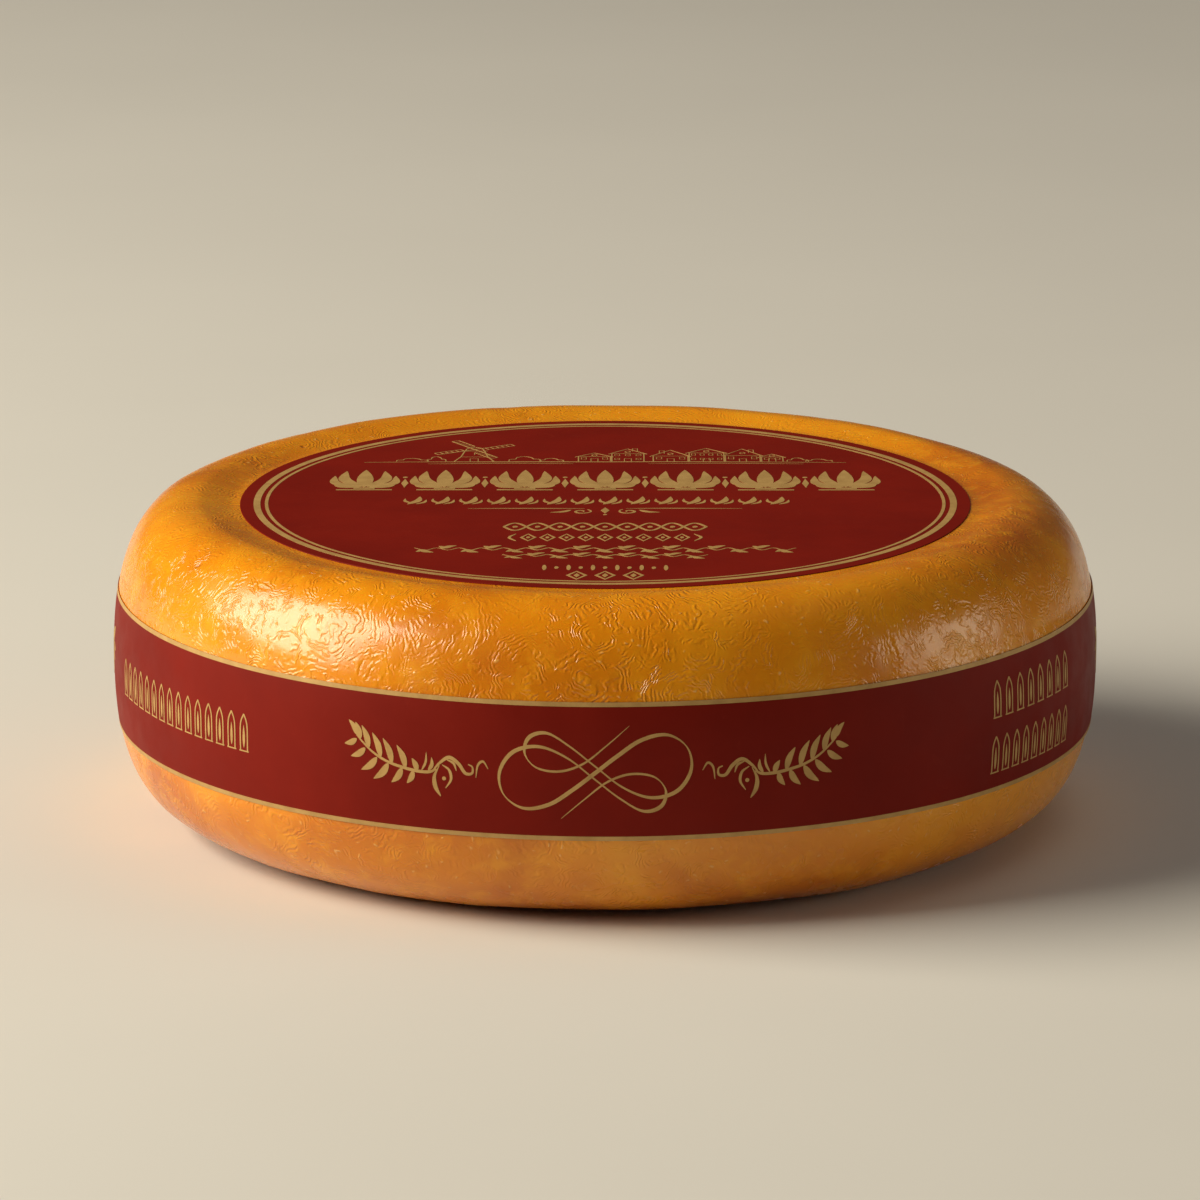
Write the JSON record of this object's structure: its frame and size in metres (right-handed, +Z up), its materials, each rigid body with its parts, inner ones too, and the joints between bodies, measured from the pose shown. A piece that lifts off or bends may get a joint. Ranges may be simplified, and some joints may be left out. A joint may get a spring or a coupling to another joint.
{
  "type": "cheese wheel",
  "caption": "Whole round cheese in a glossy orange-yellow coat, with a round paper label on its top face and a paper band wrapped round its side.",
  "frame": {"origin": "centre of the flat base, on the surface the wheel rests on", "axes": "+Z up along the wheel's round axis; -Y is the front, and the lap of the side band is at +Y"},
  "size_m": [0.3602, 0.361, 0.1165],
  "materials": {
    "cheese_coat": "gloss",
    "red_paper": "satin",
    "gold_print": "satin"
  },
  "bodies": {
    "root": {"cheese_wheel": "cheese_coat", "top_label": "red_paper", "side_band": "red_paper"}
  },
  "joints": []
}
